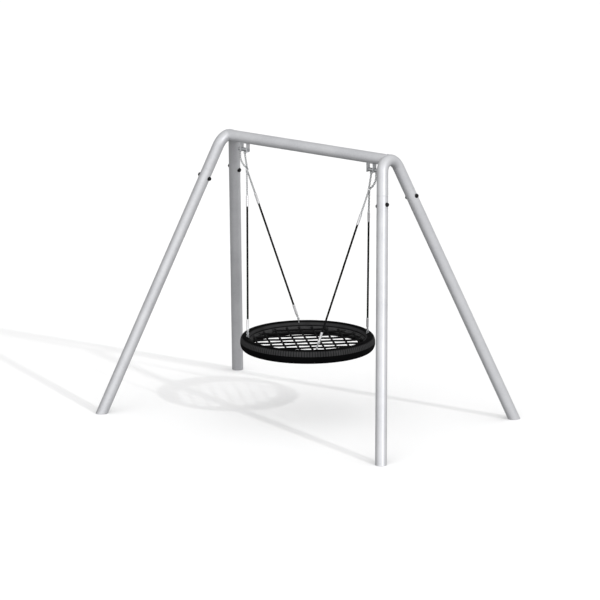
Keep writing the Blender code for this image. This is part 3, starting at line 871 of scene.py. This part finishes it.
def make_bracket(side_name):
    """Two cheeks on a strip rolled to the beam, and the welds along the strip's edges."""
    side = SIDES[side_name]
    centre = side * BRACKET_X
    half = CHEEK_HALF_DEPTH
    inner, outer = TUBE_R + GAP, TUBE_R + GAP + STRIP_THICK

    def arc(radius):
        reach = math.asin(half / radius)
        return [(radius * math.sin(a), BEAM_Z - radius * math.cos(a)) for a in np.linspace(-reach, reach, 17)]

    shapes = [plate([*arc(outer), *arc(inner)[::-1]], (centre, 0, 0), Y_AXIS, Z_AXIS, 2 * CHEEK_OUT, 0.0004)]
    for x in (centre - CHEEK_SPREAD, centre + CHEEK_SPREAD):
        corners = [(-half, CHEEK_LOW), (half, CHEEK_LOW), *arc((inner + outer) / 2)[::-1]]
        shape = rounded(corners, [CHEEK_CORNER, CHEEK_CORNER] + [0.0] * (len(corners) - 2), 6)
        shapes.append(plate(shape, (x, 0, 0), Y_AXIS, Z_AXIS, CHEEK_THICK))
    piece(f"bracket_{side_name}", "frame", "frame_paint", shapes, f"bracket_{side_name}")
    edge_z = BEAM_Z - math.sqrt(TUBE_R**2 - half**2)
    for end_name, end in ENDS.items():
        y = end * half
        run = spaced((centre - CHEEK_OUT, y, edge_z), (centre + CHEEK_OUT, y, edge_z), 0.0015)
        weld = bead(run, Z_AXIS, STRIP_WELD_R, y * 100)
        piece(f"strip_weld_{end_name}_{side_name}", "frame", "frame_paint", weld)


def lug_with_hole(centre, across, up, radius, top, thickness, hole_r=HOLE_R):
    """A strip with a round lower end about a hole, as a ring of quads from the hole to the edge."""
    across, up = unit(across), unit(up)
    through = np.cross(across, up)
    sides = 48
    turns = np.linspace(0, FULL_TURN, sides, endpoint=False)
    outer = []
    for turn in turns:
        c, s = math.cos(turn), math.sin(turn)
        if s <= 0:
            outer.append((radius * c, radius * s))
        else:
            reach = min(radius / max(abs(c), 1e-6), top / s)
            outer.append((reach * c, reach * s))
    outer = np.array(outer)
    inner = np.stack([hole_r * np.cos(turns), hole_r * np.sin(turns)], 1)
    half, edge = thickness / 2, 0.0007
    rings = []
    shrink = outer * (1 - edge / np.linalg.norm(outer, axis=1))[:, None]
    widen = inner * (1 + edge / hole_r)
    for flat, height in ((outer, -half + edge), (outer, half - edge), (shrink, half), (widen, half),
                         (inner, half - edge), (inner, -half + edge), (widen, -half), (shrink, -half)):
        in_face = np.outer(flat[:, 0], across) + np.outer(flat[:, 1], up)
        rings.append(np.asarray(centre) + in_face + through * height)
    return loft(rings, closed_path=True)


def make_pin(side_name):
    """Pivot pin with a domed head past the safety eye and a hexagon nut on the inner side."""
    side = SIDES[side_name]
    centre = np.array([side * BRACKET_X, 0, PIVOT_Z])
    out = X_AXIS * side
    near = CHEEK_OUT + GAP
    far = near + SAFETY_LENGTH + GAP
    head = [(0, far + 0.0068), (0.004, far + 0.0066), (0.009, far + 0.0052), (0.0118, far + 0.0022),
            (NUT_R, far), (PIN_R, far), (PIN_R, -near), (0, -near)]
    nut_end, thread_end = -near - NUT_THICK, -near - NUT_THICK - 0.0003
    nut = [(PIN_THREAD_R, nut_end), (NUT_R - 0.0016, nut_end), (NUT_R, nut_end + 0.0010),
           (NUT_R, -near - 0.0010), (NUT_R - 0.0014, -near), (PIN_THREAD_R, -near)]
    thread = [(0, -near), (PIN_THREAD_R, -near), (PIN_THREAD_R, thread_end), (0, thread_end)]
    shapes = [turned(head, centre, out), turned(nut, centre, out, sides=6), turned(thread, centre, out)]
    piece(f"pivot_pin_{side_name}", "frame", "zinc", shapes, f"pivot_pin_{side_name}")


# ---------------------------------------------------------------- hangers


def sleeve(centre, half, bore):
    """A round sleeve along X with eased ends, half its length to each side of its centre."""
    outline = [(HOUSING_R, -half), (HOUSING_R, half), (bore, half), (bore, -half)]
    return turned(rounded(outline, SLEEVE_EDGE), centre, X_AXIS, sides=48)


def make_hanger(side_name):
    """The housing that turns on the pin, and the eye below it."""
    side = SIDES[side_name]
    body = f"{side_name}_hanger"
    centre = np.array([side * BRACKET_X, 0, PIVOT_Z])
    top = PIVOT_Z - EYE_Z - HOUSING_R + LUG_SINK
    shapes = [
        sleeve(centre, HOUSING_HALF, PIN_R + GAP + BUSH_WALL + GAP),
        lug_with_hole((side * BRACKET_X, 0, EYE_Z), X_AXIS, Z_AXIS, EYE_R, top, EYE_THICK),
    ]
    piece(f"hanger_{side_name}", body, "zinc", shapes, f"hanger_{side_name}")
    weld_z = PIVOT_Z - math.sqrt(HOUSING_R**2 - (EYE_THICK / 2) ** 2)
    for end_name, end in ENDS.items():
        y = end * EYE_THICK / 2
        run = spaced((side * BRACKET_X - EYE_R, y, weld_z), (side * BRACKET_X + EYE_R, y, weld_z), 0.0012)
        piece(f"eye_weld_{end_name}_{side_name}", body, "zinc", bead(run, Z_AXIS, EYE_WELD_R, y * 300))


def make_safety_eye(side_name):
    """The short sleeve on the pin's outboard end, with the lug that holds the safety chain."""
    side = SIDES[side_name]
    centre = np.array([side * SAFETY_X, 0, PIVOT_Z])
    top = PIVOT_Z - SAFETY_Z - HOUSING_R + LUG_SINK
    lug_centre = (side * SAFETY_X, 0, SAFETY_Z)
    shapes = [
        sleeve(centre, SAFETY_LENGTH / 2 - GAP / 2, PIN_R + GAP),
        lug_with_hole(lug_centre, X_AXIS, Z_AXIS, SAFETY_R, top, SAFETY_THICK, SAFETY_HOLE_R),
    ]
    piece(f"safety_eye_{side_name}", f"{side_name}_hanger", "zinc", shapes, f"safety_eye_{side_name}")


def make_hanger_chains(side_name):
    """The top chain, the slack safety chain and the ring that gathers them."""
    side = SIDES[side_name]
    body = f"{side_name}_hanger"
    ring_centre = np.array([side * RING_X, 0, RING_Z])
    turns = np.linspace(0, FULL_TURN, 48, endpoint=False)
    path = ring_centre + RING_MAJOR * (np.outer(np.sin(turns), Y_AXIS) + np.outer(np.cos(turns), Z_AXIS))
    name = f"joint_ring_{side_name}"
    piece(name, body, "zinc", swept(path, X_AXIS, RING_WIRE, 16, closed=True), name)

    hook = RING_MAJOR - RING_WIRE
    eye_bottom = np.array([side * BRACKET_X, 0, EYE_Z - HOLE_R])
    ring_top = ring_centre + Z_AXIS * hook
    name = f"top_chain_{side_name}"
    piece(name, body, "zinc", chain([eye_bottom, ring_top], Y_AXIS, odd=False), name)

    leaning = Y_AXIS * math.sin(SAFETY_HOOK_LEAN) + Z_AXIS * math.cos(SAFETY_HOOK_LEAN)
    route = [
        (side * SAFETY_X, 0, SAFETY_Z - SAFETY_HOLE_R),
        *[(side * x, y, z) for x, y, z in SAFETY_SAG],
        tuple(ring_centre + hook * leaning + X_AXIS * side * 0.002),
    ]
    name = f"safety_chain_{side_name}"
    piece(name, body, "zinc", chain(route, Y_AXIS, odd=False), name)


# ---------------------------------------------------------------- suspension lines


def line_ends(side, end):
    top = np.array([side * RING_X, 0, RING_Z])
    reach = SEAT_EYE_R / math.sqrt(2)
    return top, np.array([side * reach, end * reach, SEAT_EYE_Z])


def ferrule_profile(length):
    """Outline of a pressed sleeve, with eased ends and the marks of the die."""
    profile = [(0, 0), (0.0085, 0), (0.0105, 0.0012), (FERRULE_R, 0.006)]
    marks = 4
    for i in range(marks):
        middle = length * (0.24 + 0.52 * i / (marks - 1))
        profile += [(FERRULE_R, middle - 0.0045), (FERRULE_R - 0.0009, middle - 0.0025),
                    (FERRULE_R - 0.0009, middle + 0.0025), (FERRULE_R, middle + 0.0045)]
    profile += [(FERRULE_R, length - 0.006), (0.0105, length - 0.0012), (0.0085, length), (0, length)]
    return profile


def make_line(side_name, end_name):
    side, end = SIDES[side_name], ENDS[end_name]
    where = f"{end_name}_{side_name}"
    top, seat_eye = line_ends(side, end)
    length = np.linalg.norm(seat_eye - top)
    direction = (seat_eye - top) / length

    hanging = Y_AXIS * end * math.sin(LINE_HOOK_SPREAD) - Z_AXIS * math.cos(LINE_HOOK_SPREAD)
    hook = top + (RING_MAJOR - RING_WIRE) * hanging
    upper_eye = top + direction * (UPPER_FERRULE[0] - EYE_REACH)
    name = f"upper_chain_{where}"
    piece(name, "seat", "zinc", chain([hook, upper_eye], X_AXIS), name)

    lower_eye = top + direction * (LOWER_FERRULE[1] + EYE_REACH)
    tangent = np.array([-end, side, 0]) / math.sqrt(2)
    lug_bottom = seat_eye + Z_AXIS * (SEAT_LUG_TOP - SEAT_EYE_Z) * 0.3
    name = f"lower_chain_{where}"
    piece(name, "seat", "zinc", chain([lower_eye, lug_bottom], tangent), name)

    for kind, (start, stop), far in (("upper", UPPER_FERRULE, -1), ("lower", LOWER_FERRULE, 1)):
        body = turned(ferrule_profile(stop - start), top + direction * start, direction, sides=40)
        eye_end = top + direction * (start if far < 0 else stop)
        loop_side = X_AXIS if far < 0 else tangent
        quarter = np.cross(direction, sideways(direction, loop_side))
        eye_centre = eye_end + direction * far * 0.001
        eye = link(eye_centre, direction, quarter, FERRULE_EYE_PITCH, FERRULE_EYE_WIDTH)
        name = f"{kind}_ferrule_{where}"
        piece(name, "seat", "ferrule_aluminium", [body, eye], name)

    start, stop = top + direction * ROPE[0], top + direction * ROPE[1]
    path = spaced(start, stop, 0.005)
    laid = strands(path, X_AXIS, ROPE_R, ROPE_LAY)
    rope = piece(f"rope_{where}", "seat", "black_rope", laid, f"rope_{where}", angle=80)


# ---------------------------------------------------------------- seat


def section_point(angle):
    """A point of the ring's section, as (radius, height): rounded, with a squarer inner lower corner."""
    c, s = math.cos(angle), math.sin(angle)
    power = INNER_CORNER_POWER if c < 0 and s < 0 else SECTION_POWER
    across = math.copysign(abs(c) ** (2 / power), c)
    up = math.copysign(abs(s) ** (2 / power), s)
    return SECTION_R + SECTION_HALF_WIDTH * across, SECTION_HALF_HEIGHT * up


def rib_height(turn):
    """0 in the groove between two ribs and 1 on a rib's flat top."""
    phase = turn * RIBS / FULL_TURN % 1.0
    return min(1.0, max(0.0, (abs(phase - 0.5) * 2 - 0.16) / 0.22))


def make_upper_bumper():
    """Ribbed outside, a groove round the inner wall, and a channel underneath for the steel core."""
    steps = RIBS * RIB_STEPS
    points = 40
    outline = []
    for i in range(points + 1):
        radius, height = section_point(math.pi * i / points)
        outline.append((radius, height, height < RIB_TOP and i < points / 2))
    outline[0] = (outline[0][0] - PART_CHAMFER, GAP / 2, False)
    outline.insert(1, (SEAT_R, PART_CHAMFER, True))
    outline[-1] = (outline[-1][0] + PART_CHAMFER, GAP / 2, False)
    outline.insert(-1, (SEAT_INNER_R, PART_CHAMFER, False))
    channel = CORE_R + 2 * GAP
    floor_points = []
    for i in range(9):
        angle = math.pi * (1 - i / 8)
        across, up = channel * math.cos(angle), channel * math.sin(angle)
        floor_points.append((SECTION_R + across, GAP / 2 + up, False))
    rings = []
    for radius, height, ribbed in outline + floor_points:
        grooved = 0.0
        if radius < SECTION_R - 0.02 and height > 0.005:
            grooved = WALL_GROOVE_DEPTH * max(0.0, 1 - ((height - WALL_GROOVE_Z) / WALL_GROOVE_HALF) ** 2)
        fade = 0.0
        if ribbed:
            fade = min(1.0, max(0.0, (RIB_TOP - height) / 0.008)) * min(1.0, height / 0.004)
        ring = []
        for step in range(steps):
            turn = FULL_TURN * step / steps
            reach = radius + grooved - fade * RIB_DEPTH * (1 - rib_height(turn))
            ring.append((reach * math.cos(turn), reach * math.sin(turn), SEAT_Z + height))
        rings.append(ring)
    piece("upper_bumper", "seat", "black_rubber", loft(rings, closed_path=True), "upper_bumper", angle=60)


def make_lower_bumper():
    """Smooth all round, with the other half of the steel core's channel on top."""
    steps, points = 192, 36
    outline = [section_point(-math.pi * i / points) for i in range(points + 1)]
    outline[0] = (outline[0][0] - PART_CHAMFER, -GAP / 2)
    outline.insert(1, (SEAT_R, -PART_CHAMFER))
    outline[-1] = (outline[-1][0] + PART_CHAMFER, -GAP / 2)
    outline.insert(-1, (SEAT_INNER_R, -PART_CHAMFER))
    channel = CORE_R + 2 * GAP
    for i in range(9):
        angle = math.pi * (1 - i / 8)
        outline.append((SECTION_R + channel * math.cos(angle), -GAP / 2 - channel * math.sin(angle)))
    rings = []
    turns = np.linspace(0, FULL_TURN, steps, endpoint=False)
    for radius, height in outline:
        level = np.full(steps, SEAT_Z + height)
        rings.append(np.stack([radius * np.cos(turns), radius * np.sin(turns), level], 1))
    skin = loft(rings, closed_path=True)
    piece("lower_bumper", "seat", "black_rubber", skin, "lower_bumper", angle=60)


def make_core():
    """The steel ring inside the rubber and its four eyes, with a rubber collar where each comes out."""
    turns = np.linspace(0, FULL_TURN, 120, endpoint=False)
    path = [(SECTION_R * math.cos(turn), SECTION_R * math.sin(turn), SEAT_Z) for turn in turns]
    shapes = [swept(path, Z_AXIS, CORE_R, 20, closed=True)]
    for side in SIDES.values():
        for end in ENDS.values():
            out = np.array([side, end, 0]) / math.sqrt(2)
            eye = out * SEAT_EYE_R + Z_AXIS * SEAT_EYE_Z
            root = SEAT_EYE_Z - SEAT_Z - 0.010
            shapes.append(lug_with_hole(eye, -out, -Z_AXIS, SEAT_LUG_R, root, SEAT_LUG_THICK))
    piece("seat_ring_core", "seat", "zinc", shapes, "seat_ring_core")
    for side_name, side in SIDES.items():
        for end_name, end in ENDS.items():
            out = np.array([side, end, 0]) / math.sqrt(2)
            tangent = np.cross(Z_AXIS, out)
            loop = []
            for turn in np.linspace(0, FULL_TURN, 40, endpoint=False):
                c, s = math.cos(turn), math.sin(turn)
                long = math.copysign(abs(c) ** 0.5, c) * COLLAR_HALF_LENGTH
                short = math.copysign(abs(s) ** 0.5, s) * COLLAR_HALF_WIDTH
                x = SEAT_EYE_R + long
                aside = min(1, abs(x - SECTION_R) / SECTION_HALF_WIDTH)
                height = SECTION_HALF_HEIGHT * (1 - aside**SECTION_POWER) ** (1 / SECTION_POWER)
                loop.append(out * x + tangent * short + Z_AXIS * (SEAT_Z + height + 0.0005))
            piece(f"lug_collar_{end_name}_{side_name}", "seat", "black_rubber",
                  swept(loop, Z_AXIS, COLLAR_R, 10, closed=True))


def make_net():
    """Two families of laid ropes, woven over and under each other, with a moulded socket at each end."""
    shapes, sockets = [], []
    reach = SEAT_INNER_R - 2 * BORDER_R + 0.004
    for family in range(2):
        turn = math.pi / 4 + family * math.pi / 2
        along = np.array([math.cos(turn), math.sin(turn), 0])
        across = np.array([-math.sin(turn), math.cos(turn), 0])
        for line in range(-NET_LINES, NET_LINES + 1):
            offset = line * NET_PITCH
            half = math.sqrt(reach**2 - offset**2)
            path = []
            for s in np.linspace(-half, half, math.ceil(2 * half / 0.008)):
                sign = (-1) ** (line + family)
                fade = min(1.0, (half - abs(s)) / 0.05)
                height = sign * NET_WEAVE * math.cos(math.pi * s / NET_PITCH) * fade
                path.append(along * s + across * offset + Z_AXIS * (SEAT_Z + height))
            shapes.append(strands(path, Z_AXIS, NET_ROPE_R, NET_LAY, lobes=4, sides=20))
            for way in (-1, 1):
                tip = along * way * half + across * offset
                wall = math.sqrt(SEAT_INNER_R**2 - offset**2)
                base = along * way * wall + across * offset + Z_AXIS * SEAT_Z
                inward = unit(-along * way - unit(tip) * 0.8)
                sockets.append(turned(SOCKET_PROFILE, base, inward, sides=20))
    piece("seat_net", "seat", "net_rope", shapes, "seat_net", angle=80)
    piece("net_sockets", "seat", "black_plastic", sockets)
    turns = np.linspace(0, FULL_TURN, 400, endpoint=False)
    radius = SEAT_INNER_R - BORDER_R - GAP
    path = [(radius * math.cos(turn), radius * math.sin(turn), SEAT_Z) for turn in turns]
    border = strands(path, Z_AXIS, BORDER_R, NET_LAY, lobes=4, sides=20, closed=True)
    piece("net_border", "seat", "border_rope", border, "net_border", angle=80)


def finish_cad_nodes():
    """Gives the CAD nodes that still show the finish of their slot."""
    shown = {f"bearing_bush_{side_name}": "bearing_plastic" for side_name in SIDES}
    shown.update({f"bolt_{end}_{side}": "zinc" for end in ENDS for side in SIDES})
    for name, finish in shown.items():
        for slot in frame["nodes"][name].material_slots:
            slot.material = finishes[finish]


# ---------------------------------------------------------------- put it together

bpy.context.scene.view_settings.view_transform = "Standard"
make_camera()
for side_name in SIDES:
    for end_name in ENDS:
        make_line(side_name, end_name)
make_world()
make_floor()
make_key_light()

make_beam()
for side_name, side in SIDES.items():
    make_head(side_name)
    make_beam_weld(side_name)
    make_bracket(side_name)
    make_pin(side_name)
    make_hanger(side_name)
    make_safety_eye(side_name)
    make_hanger_chains(side_name)
    for end_name, end in ENDS.items():
        make_leg(side_name, end_name)
        make_cap(f"cap_outer_{end_name}_{side_name}", side, end, 1)
        make_cap(f"cap_inner_{end_name}_{side_name}", side, end, -1)
make_upper_bumper()
make_lower_bumper()
make_core()
make_net()
finish_cad_nodes()

bpy.context.view_layer.update()
